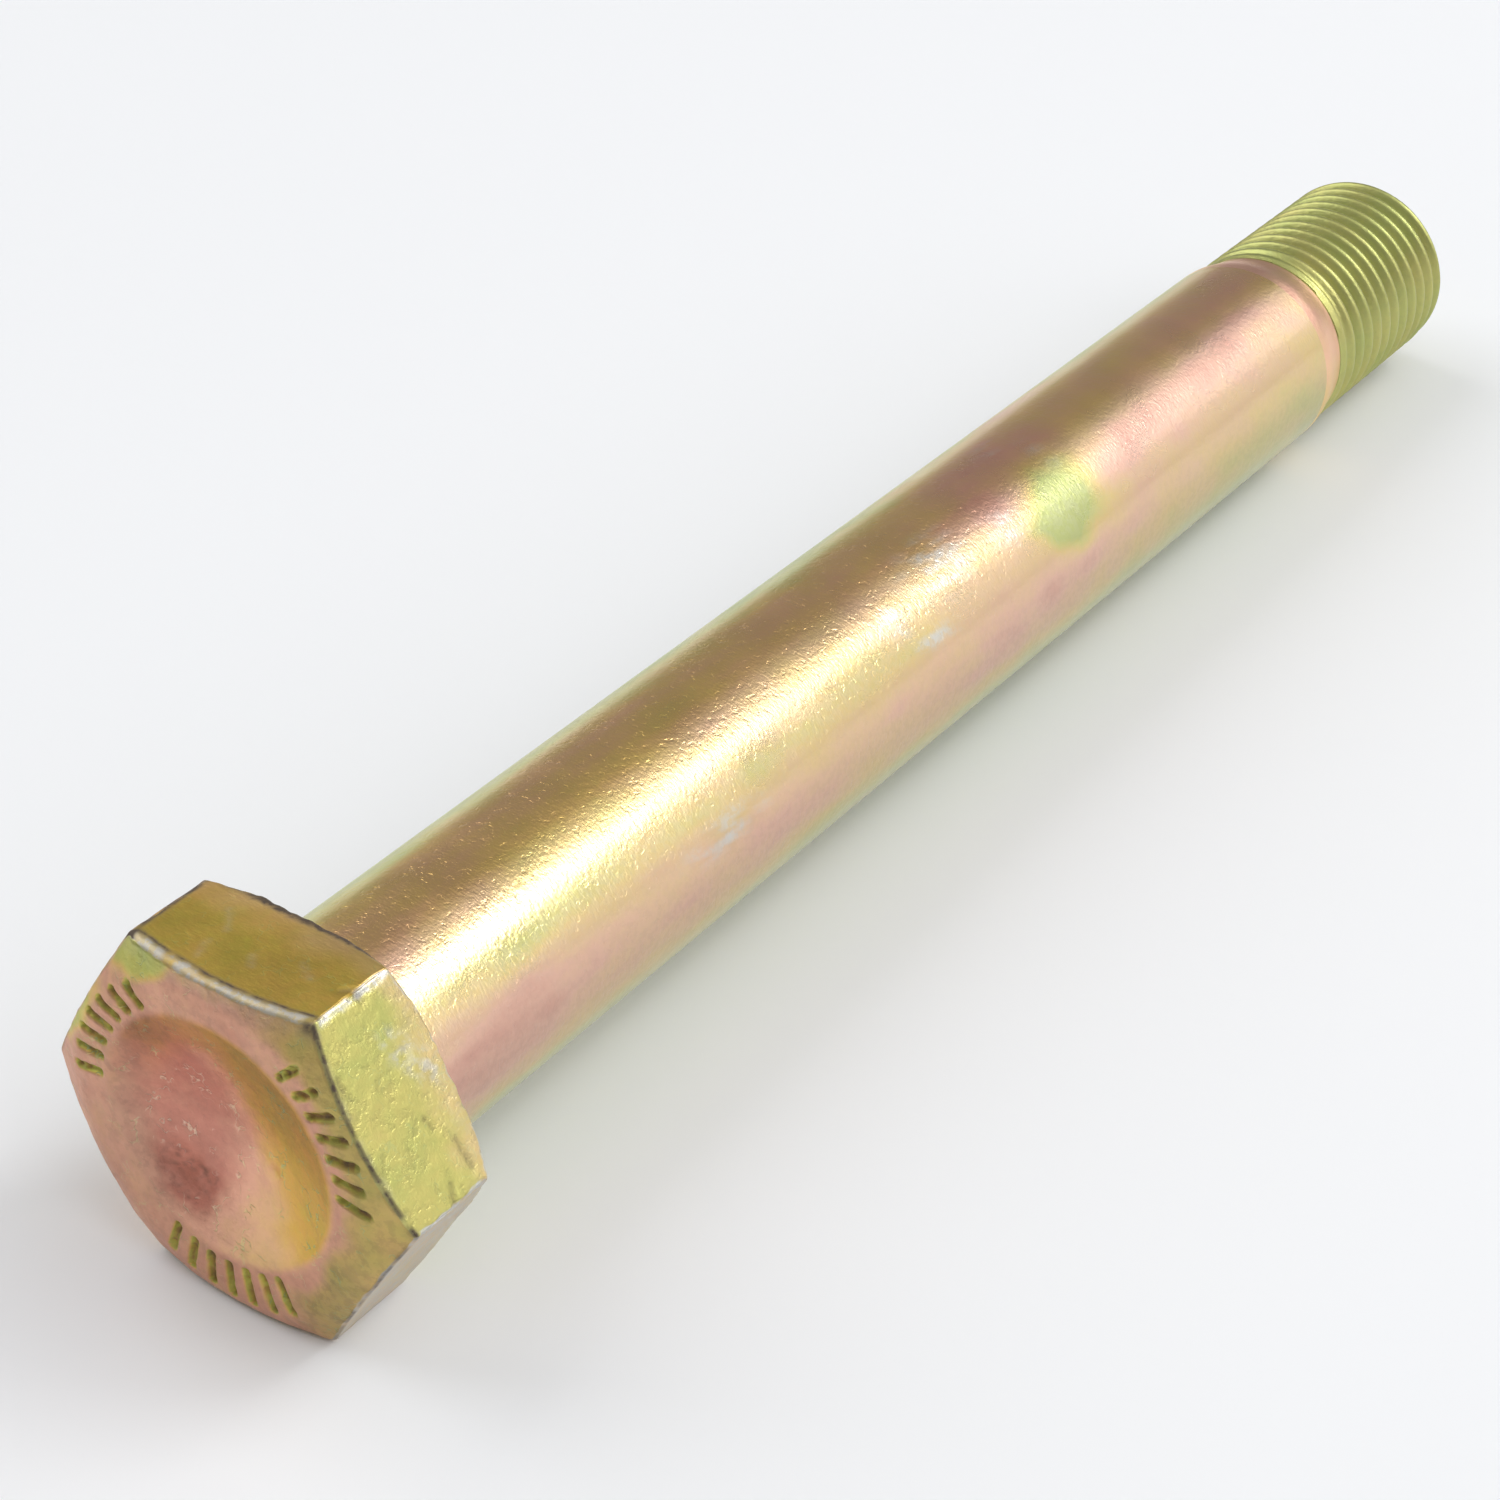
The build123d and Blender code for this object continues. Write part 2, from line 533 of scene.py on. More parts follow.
def shape_wear(s):
    """Pushes points in along x and towards the axis: struck lines, dents and nicks."""
    forged = 0.05 * s.cloud(2.6, 2.0) + 0.03 * s.cloud(0.8, 3.0)
    push_x = STROKE_DEPTH * s.struck + s.face * forged
    for spot, reach, depth in FACE_DENTS:
        push_x += depth * s.face * s.near(*spot, reach)
    uneven = 0.045 + 0.03 * s.cloud(1.7, 5.0) + 0.012 * s.cloud(0.5, 6.0)
    uneven = uneven + 0.03 * (s.side == 1) * s.cloud(0.7, 44.0)
    push_in = s.flats * uneven + 0.12 * flat_nicks(s)
    push_in += 0.07 * chipped_corner(s)
    return push_x, push_in


def edge_gap(s):
    """Distance from the line where a flat meets the front chamfer."""
    return np.hypot(s.radius * np.cos(s.across) - APOTHEM, s.x - chamfer_x(s.radius))


def off_centre(s):
    """The dish was struck a little above the middle of the head."""
    return DISH_OFFSET * (1 - smooth(6.9, 9.2, s.radius)) * s.face


def chipped_corner(s):
    """Battered edges where two flats meet, widest between the upper and the right flat."""
    from_corner = math.pi / 6 - np.abs(s.across)
    battered = (s.side == 1) * (s.across < 0)
    reach = 0.012 + 0.026 * battered + 0.016 * s.cloud(0.9, 27.0)
    return s.within(FLAT) * (1 - smooth(0.4, 1.0, from_corner / np.maximum(reach, 0.004)))


def dark_outline(s):
    """Dirt along the left and back edges of the upper flat, and behind its front edge."""
    from_corner = (math.pi / 6 - np.abs(s.across)) * s.radius
    by_corner = 1 - smooth(0.12, 0.42, from_corner)
    left = by_corner * ((s.side == 0) * (s.across < 0) + (s.side == 5) * (s.across > 0))
    upper = (s.side == 0) * 1.0
    back = upper * smooth(5.95, 6.2, s.x)
    front = upper * s.within(FLAT) * band(s.x - chamfer_x(s.radius), 0.46, 0.26)
    uneven = smooth(-0.9, -0.1, s.cloud(0.7, 43.0))
    every = np.maximum(np.maximum(left, back), front)
    return every * uneven * s.flats


# Patches on the shank: place along it and round it, reach of each, change in the film
FILM_PATCHES = (
    (66.1, 45, 5.2, 30, -1.0),
    (12.0, 80, 12.0, 44, 0.27),
    (36.0, 84, 7.0, 22, 0.22),
    (61.5, 26, 5.0, 22, 0.30),
    (74.0, 42, 8.0, 26, 0.30),
    (84.0, 34, 22.0, 28, 0.34),
    (16.0, 52, 8.0, 18, -0.12),
    (66.0, -2, 9.0, 26, 0.26),
    (91.0, -2, 10.0, 22, 0.22),
    (89.5, 21, 5.0, 10, 0.15),
    (74.0, -36, 9.0, 16, 0.35),
    (60.0, 80, 12.0, 24, 0.14),
    (90.0, 92, 28.0, 36, -0.34),
)


def stem_film(s):
    """Film on the shank: bands along it, and stains where it hung in the bath."""
    degrees = np.degrees(turn_gap(s.turn, math.radians(35))) + 35
    degrees = degrees + 8 * s.cloud(7.0, 10.0, 3.0)
    film = 0.50 + 0.16 * s.cloud(5.0, 11.0, 3.0) + 0.12 * s.cloud(1.6, 12.0, 2.0)
    film += 0.09 * s.cloud(0.7, 53.0, 5.0) * (1 - smooth(60, 80, s.x))
    film -= 0.40 * (1 - smooth(-40, -14, degrees))
    film -= 0.44 * smooth(92, 122, degrees)
    film -= 0.06 * band(degrees, -20, 8)
    film += 0.08 * band(degrees, 78, 24)
    film -= 0.14 * band(degrees, 53, 14) * (1 - smooth(44, 60, s.x))
    for x, turn, reach_x, reach_turn, change in FILM_PATCHES:
        film += change * s.stain(x, turn, reach_x, reach_turn)
    return film + 0.25 * s.within(SHOULDER)


def upper_band_shade(s):
    """Painted shade: the film's colour is deepened and darkened in a band along the upper side
    of the shank.
    """
    degrees = s.from_top + 5 * s.cloud(6.0, 13.0, 3.0)
    return 0.34 * smooth(-32, -16, degrees) * (1 - smooth(10, 24, degrees))


def chamfer_tint(s):
    """1 where the chamfer has the lime and olive film: top left, right and lower right."""
    left = np.maximum(0.6 * band(s.from_top, -26, 20), 0.5 * band(s.from_top, -64, 24))
    places = np.maximum(band(s.from_top, 86, 84), left)
    outer = s.radius + 0.6 * s.cloud(1.5, 22.0) + 1.1 * smooth(0.3, 0.9, places)
    outer = outer + 0.9 * smooth(105, 130, s.from_top) - 0.5 * (s.from_top < 0)
    by_top = 0.35 * smooth(8.4, 9.2, s.up + 0.5 * s.cloud(1.1, 47.0))
    return np.maximum(smooth(8.3, 9.3, outer) * smooth(0.02, 0.3, places), by_top)


def dish_share(s):
    """1 in the dish, falling to 0 on the ring round it."""
    return 1 - smooth(DISH_RADIUS - 0.15, DISH_RADIUS + 0.5, s.radius)


def gilt_share(s):
    """1 on the gilt wall of the dish, towards its right and round its top."""
    towards = 0.95 * s.right + 0.52 * s.up + 0.5 * s.cloud(2.2, 36.0)
    around = smooth(-2.4, 0.6, 0.7 * s.right + 0.8 * s.up + 0.8 * s.cloud(1.8, 51.0))
    wall = 0.85 * smooth(3.9, 5.3, s.radius) * around
    return np.maximum(smooth(0.3, 3.7, towards), wall) * dish_share(s)


def scar(s):
    """Dark pitted patch low on the left of the dish, its darkness partly painted shade in the
    dent there.
    """
    pitted = s.near(DISH_DEPTH, -2.5, -3.9, 2.5) + 0.5 * s.near(DISH_DEPTH, -4.0, -2.9, 1.8)
    return np.clip(pitted * (1 + 1.1 * s.cloud(0.8, 41.0) + 0.7 * s.cloud(0.35, 45.0)), 0, 1)


def face_film(s):
    """Film on the top of the head: a pink ring, and a dish from mauve to gold."""
    ring = 0.76 + 0.08 * s.cloud(2.5, 21.0) + 0.04 * s.cloud(0.9, 20.0)
    olive = 0.10 + 0.22 * smooth(-4.0, 2.0, s.right) + 0.10 * s.cloud(1.1, 34.0)
    film = ring + (olive - ring) * chamfer_tint(s)
    from_mauve = np.hypot((s.right + 2.0) / 5.0, (s.up + 0.2) / 7.2) + 0.12 * s.cloud(1.9, 23.0)
    dished = 0.70 + 0.30 * (1 - smooth(0.3, 1.15, from_mauve)) + 0.05 * s.cloud(0.7, 29.0)
    gold = s.near(DISH_DEPTH, 2.3, -0.7, 1.4) + 0.7 * s.near(DISH_DEPTH, 1.3, 2.2, 1.6)
    dished = dished - 0.2 * gold * np.clip(0.6 + 1.6 * s.cloud(0.5, 50.0), 0, 1)
    dished = dished - 0.13 * smooth(-2.2, 1.6, s.right + 0.5 * s.cloud(1.2, 52.0))
    dished = dished - 0.22 * gilt_share(s) + 0.25 * scar(s)
    return film + (dished - film) * dish_share(s)


def face_coat_and_shade(s):
    """Depth of the film's colour: most on the gilt wall; it deepens towards the top of the dish
    as painted shade.
    """
    gilt, plain = 0.72 + 0.55 * smooth(-1.5, 5.0, s.up), 0.16 + 0.26 * smooth(-1.0, 3.5, s.up)
    dished = plain + (gilt - plain) * gilt_share(s) + 0.3 * scar(s)
    ring = 0.22 - 0.04 * chamfer_tint(s)
    return ring + (dished - ring) * dish_share(s)


def face_shade_and_dirt(s):
    """Painted shade on the top of the head, most in the dish's left wall and on its gilt top,
    with a painted brighter patch low on the dish's right; the scar adds dirt.
    """
    # The whole top of the head is darkened as painted shade.
    shade_and_dirt = 0.31 + 0.07 * s.cloud(1.3, 37.0) + 0.05 * s.cloud(0.5, 38.0)
    olive = 0.12 * np.sign(s.right) + 0.14 * smooth(100, 130, s.from_top)
    shade_and_dirt = shade_and_dirt + olive * chamfer_tint(s)
    # Painted shade in the dish's left wall and on its gilt top.
    wall = smooth(4.2, 5.8, s.radius) * smooth(1.5, 5.0, -s.right) * dish_share(s)
    shade_and_dirt = shade_and_dirt - 0.17 * dish_share(s) + 0.24 * wall
    shade_and_dirt = shade_and_dirt + 0.26 * gilt_share(s) * smooth(-1.5, 4.0, s.up)
    # The scar is dirt, partly painted shade in its dent; low on the dish's right the dish is
    # painted lighter.
    pits = smooth(0.05, 0.3, s.cloud(0.32, 49.0))
    shade_and_dirt = shade_and_dirt + (0.20 + 0.3 * pits) * scar(s) - 0.30 * s.near(0.8, 2.8, -2.6, 4.6)
    return np.clip(shade_and_dirt, 0, 1)


# Pale scuffs on the shank: place along it and round it, reach of each, share of bare metal
SCUFFS = (
    (31.3, 69, 4.4, 13, 1.1),
    (49.2, 38, 1.4, 18, 0.7),
    (51.4, 57, 3.4, 7, 0.85),
    (54.8, 27, 4.4, 28, 0.7),
    (61.2, 34, 2.6, 16, 0.55),
    (66.4, -8, 2.0, 12, 0.5),
    (68.2, 12, 1.2, 18, 0.3),
)

# Dirt in the middle of two scuffs: place and reach of each
SCUFF_DIRT = ((31.3, 69, 3.4, 10), (51.4, 57, 2.6, 6))

# Pale scratches on the upper flat: both ends as x and across
PALE_SCRATCHES = (
    ((1.6, -1.8), (2.6, -2.2)),
    ((3.7, -2.0), (4.9, -3.0)),
    ((3.3, 3.3), (3.9, 2.3)),
    ((2.4, 0.6), (3.0, 0.1)),
)


def film_field(s, rearward, shaded_bottom):
    """Thickness of the colour film, which sets its colour."""
    flat = s.by_side(0.30, 0.15, 0.45, 0.5, 0.6, 0.5)
    uneven = 0.14 * s.cloud(2.0, 24.0) + 0.10 * s.cloud(0.8, 30.0)
    flat = flat + uneven * s.by_side(0.35, 0.6, 1, 1, 1, 1)
    flat += rearward * s.by_side(0.12, 0.22, 0, 0, 0, 0)
    thread = 0.06 + 0.10 * s.cloud(3.0, 14.0)
    film = stem_film(s)
    for zone, values in ((s.thread, thread), (s.face, face_film(s)), (s.flats, flat)):
        film = film * (1 - zone) + values * zone
    # In the struck lines the film turns yellow at the edges, partly a painted glint, and gold
    # at the painted-shade bottoms.
    return film + (0.12 + 0.24 * shaded_bottom - film) * smooth(0.02, 0.2, s.struck)


def coat_and_shade_field(s, rearward, shaded_bottom):
    """Depth of the film's colour, which also darkens as painted shade: along the shank's upper
    band, towards the top of the dish and in the bottoms of the struck lines.
    """
    coat_and_shade = s.flats * s.by_side(0.70, 0.0, 0.0, 0.2, 0.2, 0.3) + s.shank * upper_band_shade(s)
    coat_and_shade = coat_and_shade - 0.50 * rearward * (s.side == 0) + s.face * face_coat_and_shade(s)
    return coat_and_shade + 0.25 * smooth(0.1, 0.5, s.struck) + 0.7 * shaded_bottom


def dirt_and_shade_field(s, shaded_bottom):
    """Dirt along edges and in nicks, and painted shade in the struck lines, on the top of the
    head, on the flats and along the shank.
    """
    dirt_and_shade = 0.05 * s.struck + 0.42 * shaded_bottom + s.face * face_shade_and_dirt(s)
    # The thread is darkened overall, and the underside of the shank is darkened as painted
    # shade.
    dirt_and_shade = dirt_and_shade + 0.27 * s.thread + 0.36 * s.shank * smooth(48, 90, np.abs(s.from_top))
    # Painted shade along the shank's upper edge on the +Y side.
    dirt_and_shade = dirt_and_shade + 0.2 * s.shank * smooth(28, 42, -s.from_top)
    # Painted shade on the shank's upper side next to the head.
    shade_near_head = (1 - smooth(7, 15, s.x)) * band(s.from_top, 20, 16)
    dirt_and_shade = dirt_and_shade + 0.16 * s.shank * shade_near_head
    dirt_and_shade = dirt_and_shade + 0.12 * s.shank * sum(s.stain(*spot) for spot in SCUFF_DIRT)
    # Painted shade on the flats, darkest on the lower right one and the upper one.
    dirt_and_shade = dirt_and_shade + s.flats * s.by_side(0.24, 0.13, 0.40, 0.1, 0.1, 0.1)
    dirt_and_shade = dirt_and_shade + 0.85 * dark_outline(s) + 0.24 * s.edge * (s.side == 0)
    by_edge = 1 - smooth(0.06, 0.24, edge_gap(s))
    dirty = by_edge * s.by_side(0.0, 0.85, 0.45, 0.45, 0.45, 0.45)
    dirt_and_shade = dirt_and_shade + dirty * (s.face + s.flats) * smooth(-0.7, 0.1, s.cloud(0.8, 28.0))
    corner = s.near(0.7, 5.3, 9.3, 0.6) * (s.within(CHAMFER) + s.edge)
    return dirt_and_shade + 0.7 * corner + 0.4 * flat_nicks(s)


def wear_and_highlight_field(s, rearward):
    """Bare metal on worn edges, rubbed flats and scuffs, and a painted highlight along the
    shank's side.
    """
    broken = smooth(-0.3, 0.15, s.cloud(0.9, 26.0))
    wear_and_highlight = s.by_side(0.0, 0.10, 0.25, 0.2, 0.2, 0.25) * broken * s.edge
    bright = 0.85 * smooth(-0.7, 0.1, s.cloud(0.7, 26.0)) * (s.side == 0)
    wear_and_highlight = wear_and_highlight + bright * np.maximum(s.edge, 1 - smooth(0.10, 0.22, edge_gap(s)))
    wear_and_highlight = wear_and_highlight + 0.95 * chipped_corner(s) * smooth(-0.5, 0.0, s.cloud(0.7, 39.0))
    wear_and_highlight = wear_and_highlight + s.flats * (s.side == 2) * (0.75 + 0.2 * s.cloud(1.2, 42.0))
    wear_and_highlight = wear_and_highlight + 0.12 * s.face * smooth(8.2, 9.2, s.up) + 0.03 * s.thread
    # The right flat is rubbed pale towards its back.
    rubbed = smooth(-0.2, 0.15, s.cloud(0.55, 33.0))
    wear_and_highlight = wear_and_highlight + 0.55 * rubbed * s.line(1, (4.1, -2.6), (5.6, -0.4), 1.1) * s.flats
    wear_and_highlight = wear_and_highlight + 0.16 * rearward * (s.side == 1)
    wear_and_highlight = wear_and_highlight + 0.6 * s.within(BACK_EDGE) * (s.side == 1) * rubbed
    # The shank has pale scuffs, and a painted highlight: its side is paled towards bare metal,
    # most near the head.
    scuffs = sum(share * s.stain(*place) for *place, share in SCUFFS)
    painted_highlight = (0.19 - 0.10 * smooth(36, 62, s.x)) * band(s.from_top, 44, 30)
    painted_highlight = painted_highlight + 0.10 * s.stain(66.1, 45, 5.0, 28)
    wear_and_highlight = wear_and_highlight + (scuffs * rubbed + painted_highlight) * s.shank
    return wear_and_highlight + sum(0.14 * s.line(0, *ends, 0.34) for ends in PALE_SCRATCHES) * s.flats


def colour_fields(s):
    """Values from about 0 to 1 at each point, which the material reads."""
    rearward = smooth(3.8, 6.2, s.x + 0.9 * s.cloud(1.7, 31.0)) * s.flats
    # Struck lines are darkened at the bottom as painted shade; the yellow film along their
    # edges is partly their own colour and partly a painted glint.
    shaded_bottom = smooth(0.4, 0.9, s.struck) * smooth(-0.45, 0.1, s.cloud(0.4, 25.0))
    right_flat = s.flats * (s.side == 1)
    near_head = s.shank * (1 - smooth(52, 74, s.x))
    scratched = s.face * (0.7 + 0.3 * s.within(DISH)) + 0.25 * s.flats
    return {
        "film": film_field(s, rearward, shaded_bottom),
        "coat_and_shade": coat_and_shade_field(s, rearward, shaded_bottom),
        "wear_and_highlight": wear_and_highlight_field(s, rearward),
        "dirt_and_shade": dirt_and_shade_field(s, shaded_bottom),
        "scratched": scratched + 0.12 * s.shank * (1 - smooth(48, 70, s.x)),
        "clear": s.shank * (0.32 + 0.48 * smooth(-34, 4, s.from_top)) + 0.2 * s.thread,
        "crusted": right_flat + 0.35 * s.face,
        "rough": 0.8 + s.flats * s.by_side(-0.4, 0.2, 0, 0, 0, 0),
        "pitted": 0.8 * near_head + 0.4 * s.face + 0.4 * right_flat,
    }


def build_bolt():
    turns, section = hexagon_section()
    stem_turns = np.arange(STEM_COLUMNS) / STEM_COLUMNS * 2 * math.pi + turns[0]
    mesh = Rings()
    head_rings(mesh, turns, section)
    stem_rings(mesh, stem_turns)
    thread_rings(mesh, stem_turns)
    point_rings(mesh, stem_turns)
    surface = Surface(mesh)
    push_x, push_in = shape_wear(surface)
    points = to_frame(surface.x + push_x, surface.radius - push_in, surface.turn)
    points = points + np.outer(off_centre(surface), UP) * MM
    data = bpy.data.meshes.new("bolt_visual")
    data.from_pydata([tuple(p) for p in points], [], mesh.faces)
    data.polygons.foreach_set("use_smooth", [True] * len(data.polygons))
    for name, values in colour_fields(surface).items():
        attribute = data.attributes.new(name, "FLOAT", "POINT")
        attribute.data.foreach_set("value", values.astype(np.float32))
    bolt = bpy.data.objects.new("bolt_visual", data)
    bpy.context.scene.collection.objects.link(bolt)
    return bolt


# Materials


class Nodes:
    """Short calls for building a material's node tree."""

    def __init__(self, name):
        self.material = bpy.data.materials.new(name)
        self.material.use_nodes = True
        self.tree = self.material.node_tree
        self.shader = self.tree.nodes["Principled BSDF"]

    def node(self, kind, **settings):
        made = self.tree.nodes.new(kind)
        for key, value in settings.items():
            setattr(made, key, value)
        return made

    def put(self, socket, value):
        if isinstance(value, bpy.types.NodeSocket):
            self.tree.links.new(value, socket)
        else:
            socket.default_value = value

    def math(self, operation, one, two=0.0, clamp=False):
        made = self.node("ShaderNodeMath", operation=operation, use_clamp=clamp)
        self.put(made.inputs[0], one)
        self.put(made.inputs[1], two)
        return made.outputs[0]

    def spread(self, value, low, high, new_low=0.0, new_high=1.0):
        made = self.node("ShaderNodeMapRange", interpolation_type="SMOOTHSTEP")
        for socket, given in zip(made.inputs, (value, low, high, new_low, new_high)):
            self.put(socket, given)
        return made.outputs[0]

    def mix(self, share, one, two):
        made = self.node("ShaderNodeMix", data_type="RGBA")
        self.put(made.inputs["Factor"], share)
        self.put(made.inputs["A"], one)
        self.put(made.inputs["B"], two)
        return made.outputs["Result"]

    def field(self, name):
        made = self.node("ShaderNodeAttribute", attribute_name=name)
        return made.outputs["Fac"]

    def noise(self, coordinates, size, detail, roughness=0.5):
        """Noise about 0.5 whose features have about that size in metres."""
        made = self.node("ShaderNodeTexNoise")
        self.put(made.inputs["Vector"], coordinates)
        self.put(made.inputs["Scale"], 1 / size)
        self.put(made.inputs["Detail"], detail)
        self.put(made.inputs["Roughness"], roughness)
        return made.outputs["Fac"]

    def scaled(self, coordinates, scale):
        made = self.node("ShaderNodeMapping")
        self.put(made.inputs["Vector"], coordinates)
        made.inputs["Scale"].default_value = scale
        return made.outputs["Vector"]

    def ramp(self, value, stops):
        made = self.node("ShaderNodeValToRGB")
        elements = made.color_ramp.elements
        while len(elements) < len(stops):
            elements.new(0.5)
        for element, (position, colour) in zip(elements, stops):
            element.position = position
            element.color = (*colour, 1)
        self.put(made.inputs["Fac"], value)
        return made.outputs["Color"]


LIME = (0.585, 0.635, 0.195)
YELLOW = (0.76, 0.68, 0.22)
GOLD = (0.90, 0.66, 0.27)
CHAMPAGNE = (0.92, 0.62, 0.35)
PINK = (0.92, 0.55, 0.40)
MAUVE = (0.74, 0.36, 0.28)
# Pale bare zinc, also the colour of the painted highlight on the shank.
BARE_ZINC_AND_HIGHLIGHT = (0.86, 0.85, 0.80, 1)
# Dark colour of dirt and of painted shade.
DIRT_AND_SHADE = (0.10, 0.072, 0.050, 1)
FILM_STOPS = (
    (0.0, LIME),
    (0.2, YELLOW),
    (0.4, GOLD),
    (0.58, CHAMPAGNE),
    (0.76, PINK),
    (1.0, MAUVE),
)


# Sizes of the plating's patterns, in metres
MOTTLE, SPECKLE, FLECKS, SHEEN = 0.0022, 0.00032, 0.00045, 0.004
SCRATCH_PATHS, SCRATCH_PATCHES = 0.0011, 0.0012
CRUST, PITS, GRAIN, GROUND = 0.0009, 0.0004, 0.0003, 0.00013
RELIEF = 0.00005

GROUND_STRETCH = (1.0, 0.35, 0.35)
COAT_ROUGHNESS, COAT_IOR = 0.17, 1.62


def scratch_lines(n, place):
    """Thin winding scratches, which lie in patches."""
    paths = n.math("ABSOLUTE", n.math("SUBTRACT", n.noise(place, SCRATCH_PATHS, 2.0, 0.6), 0.5))
    patches = n.spread(n.noise(place, SCRATCH_PATCHES, 1.0), 0.5, 0.62)
    lines = n.math("MULTIPLY", n.spread(paths, 0.0, 0.022, 1.0, 0.0), patches)
    return n.math("MULTIPLY", lines, n.field("scratched"))


def film_colour(n, place, scratch):
    """Colour of the film by its thickness, deepened by its coat, which also darkens it as
    painted shade.
    """
    mottle = n.math("SUBTRACT", n.noise(place, MOTTLE, 3.0), 0.5)
    speckle = n.math("SUBTRACT", n.noise(place, SPECKLE, 2.0), 0.5)
    film = n.math("ADD", n.field("film"), n.math("MULTIPLY", mottle, 0.16))
    film = n.math("ADD", film, n.math("MULTIPLY", speckle, 0.10))
    film = n.math("SUBTRACT", film, n.math("MULTIPLY", scratch, 0.3))
    gamma = n.node("ShaderNodeGamma")
    n.put(gamma.inputs["Color"], n.ramp(film, FILM_STOPS))
    n.put(gamma.inputs["Gamma"], n.math("ADD", n.field("coat_and_shade"), 1.0))
    return gamma.outputs["Color"]


def surface_relief(n, place, scratch, crust):
    """Height of the grain and grinding lines, less scratches, pits and crust."""
    ground = n.noise(n.scaled(place, GROUND_STRETCH), GROUND, 1.0)
    grain = n.noise(place, GRAIN, 3.0, 0.6)
    relief = n.math("ADD", n.math("MULTIPLY", grain, 0.6), n.math("MULTIPLY", ground, 0.4))
    relief = n.math("SUBTRACT", relief, n.math("MULTIPLY", scratch, 0.5))
    pits = n.spread(n.noise(place, PITS, 2.0), 0.58, 0.70)
    pits = n.math("MULTIPLY", pits, n.field("pitted"))
    relief = n.math("SUBTRACT", relief, n.math("MULTIPLY", pits, 0.4))
    return n.math("SUBTRACT", relief, n.math("MULTIPLY", crust, 0.5))


def plated_steel():
    """Yellow passivated plating: a thin film that turns from lime to gold, pink and mauve."""
    n = Nodes("plated_steel")
    place = n.node("ShaderNodeTexCoord").outputs["Object"]
    scratch = scratch_lines(n, place)
    flecks = n.spread(n.noise(place, FLECKS, 3.0, 0.6), 0.42, 0.62)
    # Bare zinc shows on worn metal and as a painted highlight on the shank.
    wear_and_highlight = n.math("MULTIPLY", n.field("wear_and_highlight"), n.spread(flecks, 0.0, 0.5, 0.55, 1.0), True)
    wear_and_highlight = n.math("ADD", wear_and_highlight, n.math("MULTIPLY", scratch, 0.24), True)
    colour = n.mix(wear_and_highlight, film_colour(n, place, scratch), BARE_ZINC_AND_HIGHLIGHT)
    # Dirt and painted shade darken the colour towards the dark colour.
    dirt_and_shade = n.math("MULTIPLY", n.field("dirt_and_shade"), n.spread(flecks, 0.1, 0.8, 0.88, 1.0), True)
    # The crust's hollows are darkened, partly dirt and partly painted shade.
    crust = n.spread(n.noise(place, CRUST, 4.0, 0.62), 0.50, 0.66)
    crust = n.math("MULTIPLY", crust, n.field("crusted"))
    dirt_and_shade = n.math("ADD", dirt_and_shade, n.math("MULTIPLY", crust, 0.13), True)
    n.put(n.shader.inputs["Base Color"], n.mix(dirt_and_shade, colour, DIRT_AND_SHADE))
    n.put(n.shader.inputs["Metallic"], n.spread(dirt_and_shade, 0.0, 1.0, 1.0, 0.35))
    n.put(n.shader.inputs["Coat Weight"], n.field("clear"))
    n.shader.inputs["Coat Roughness"].default_value = COAT_ROUGHNESS
    n.shader.inputs["Coat IOR"].default_value = COAT_IOR
    matt = n.spread(n.noise(place, SHEEN, 3.0), 0.3, 0.7, 0.31, 0.39)
    matt = n.math("SUBTRACT", matt, n.math("MULTIPLY", n.field("clear"), 0.08))
    n.put(n.shader.inputs["Roughness"], n.math("ADD", matt, n.math("MULTIPLY", dirt_and_shade, 0.3)))
    bumps = n.node("ShaderNodeBump")
    bumps.inputs["Distance"].default_value = RELIEF
    n.put(bumps.inputs["Strength"], n.field("rough"))
    n.put(bumps.inputs["Height"], surface_relief(n, place, scratch, crust))
    n.put(n.shader.inputs["Normal"], bumps.outputs["Normal"])
    return n.material


def floor_material():
    n = Nodes("floor")
    n.shader.inputs["Base Color"].default_value = FLOOR_COLOUR
    n.shader.inputs["Roughness"].default_value = 0.7
    n.shader.inputs["Specular IOR Level"].default_value = 0.2
    return n.material


# Scene


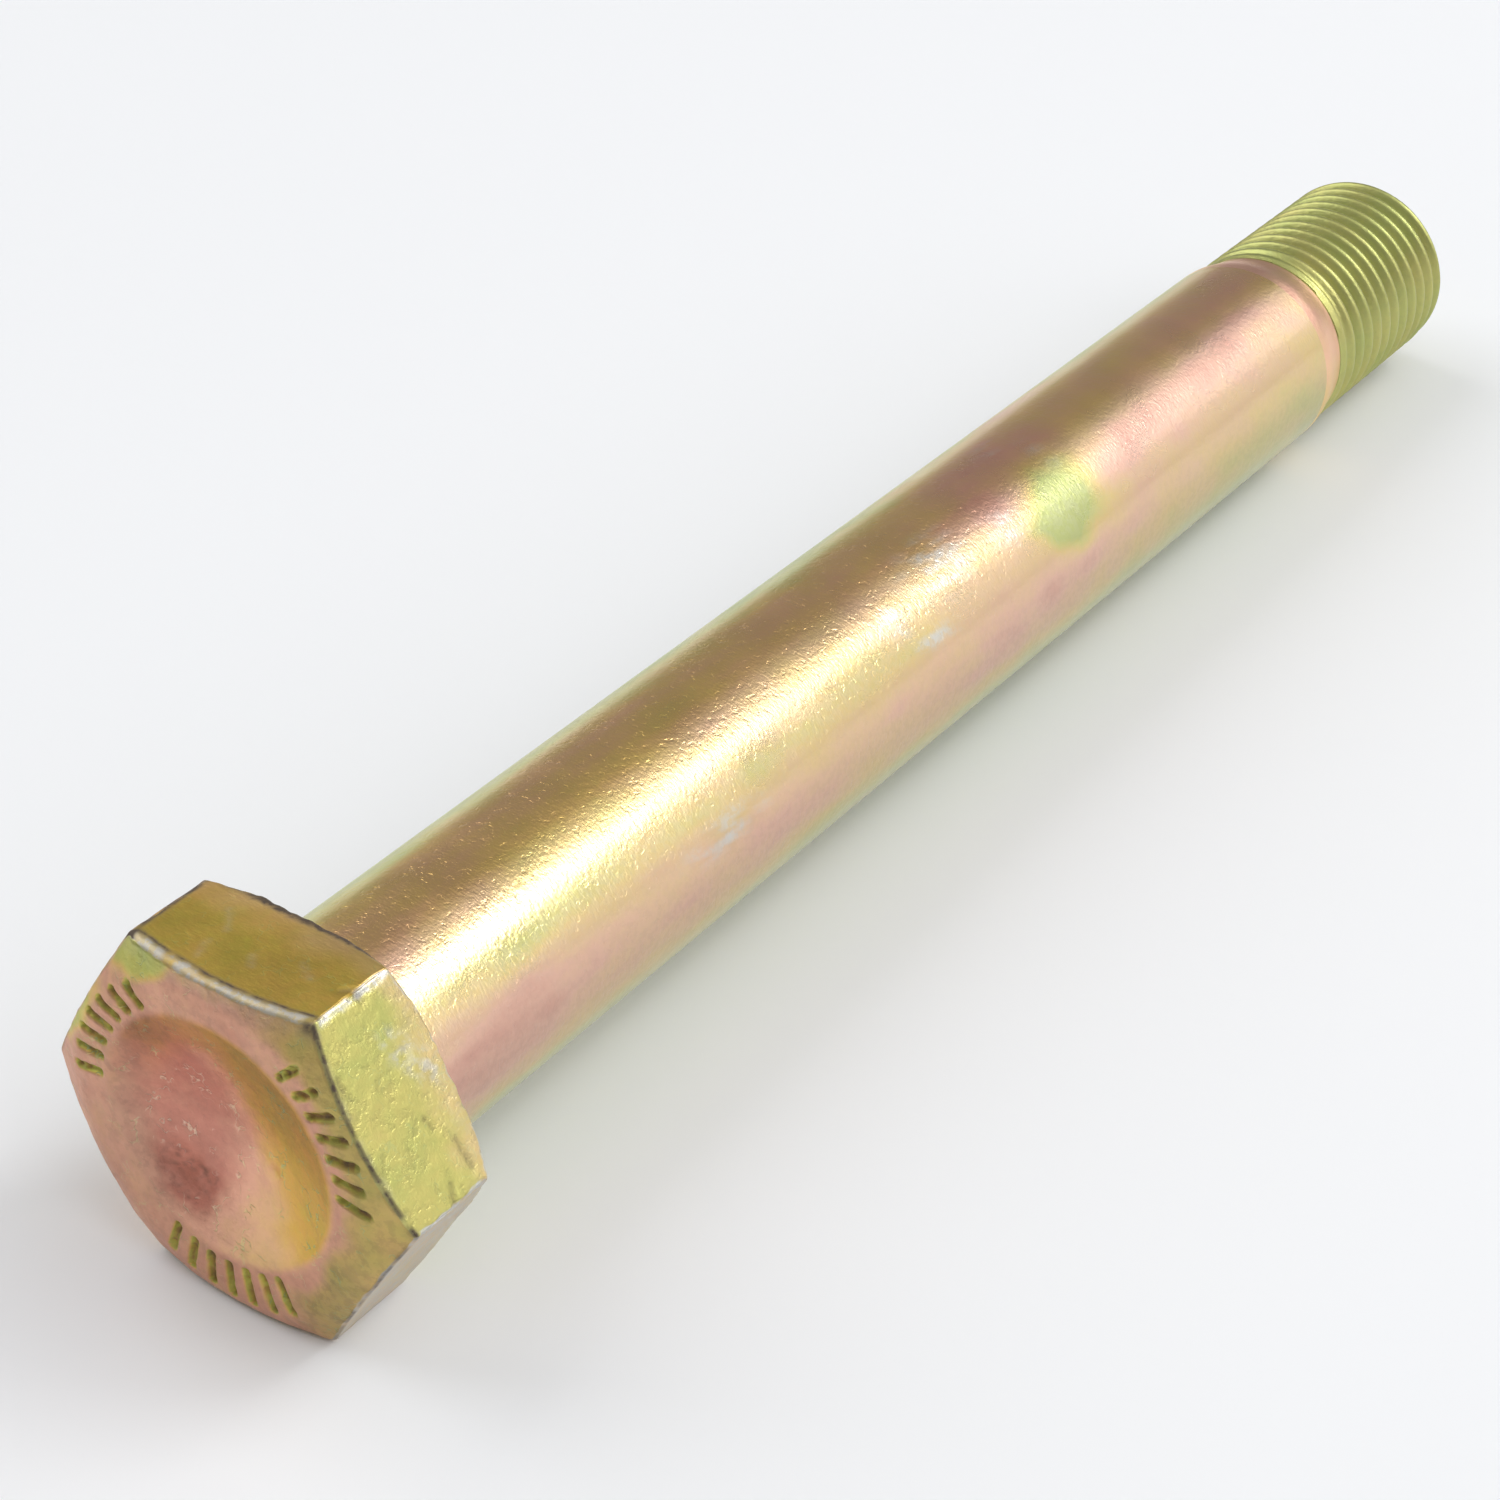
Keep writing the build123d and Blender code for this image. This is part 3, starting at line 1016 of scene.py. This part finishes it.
def build_floor():
    data = bpy.data.meshes.new("floor")
    reach = FLOOR_REACH
    corners = [(-reach, -reach, 0), (reach, -reach, 0), (reach, reach, 0), (-reach, reach, 0)]
    data.from_pydata(corners, [], [(0, 1, 2, 3)])
    data.materials.append(floor_material())
    floor = bpy.data.objects.new("floor", data)
    bpy.context.scene.collection.objects.link(floor)


def area_light(name, azimuth, elevation, distance, width, height, power, aim):
    """Soft light in a direction from the aim: azimuth turns from +X towards +Y."""
    azimuth, elevation = math.radians(azimuth), math.radians(elevation)
    level = math.cos(elevation)
    away = Vector((math.cos(azimuth) * level, math.sin(azimuth) * level, math.sin(elevation)))
    data = bpy.data.lights.new(name, "AREA")
    data.shape = "RECTANGLE"
    data.size, data.size_y = width, height
    data.energy = power
    lamp = bpy.data.objects.new(name, data)
    lamp.location = aim + away * distance
    lamp.rotation_mode = "QUATERNION"
    lamp.rotation_quaternion = away.to_track_quat("Z", "Y")
    bpy.context.scene.collection.objects.link(lamp)


def build_lights(middle):
    for name, light in LIGHTS.items():
        area_light(name, *light, middle)
    world = bpy.data.worlds.new("studio")
    world.use_nodes = True
    background = world.node_tree.nodes["Background"]
    background.inputs["Color"].default_value = (1, 1, 1, 1)
    background.inputs["Strength"].default_value = WORLD_STRENGTH
    bpy.context.scene.world = world


def build_camera():
    data = bpy.data.cameras.new("camera")
    data.lens = LENS
    data.sensor_width = SENSOR
    data.clip_start, data.clip_end = 0.005, 20
    camera = bpy.data.objects.new("camera", data)
    camera.location = Vector(CAMERA_PLACE) * MM
    away = camera.location - Vector(CAMERA_AIM) * MM
    camera.rotation_euler = away.to_track_quat("Z", "Y").to_euler()
    camera.rotation_euler.rotate_axis("Z", CAMERA_ROLL)
    bpy.context.scene.collection.objects.link(camera)
    bpy.context.scene.camera = camera


bolt = build_bolt()
bolt.data.materials.append(plated_steel())
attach(bolt, "root")
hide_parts("shear_bolt")
build_floor()
build_lights(sum(cad_box, Vector()) / 2)
build_camera()
bpy.context.scene.view_settings.view_transform = "Standard"
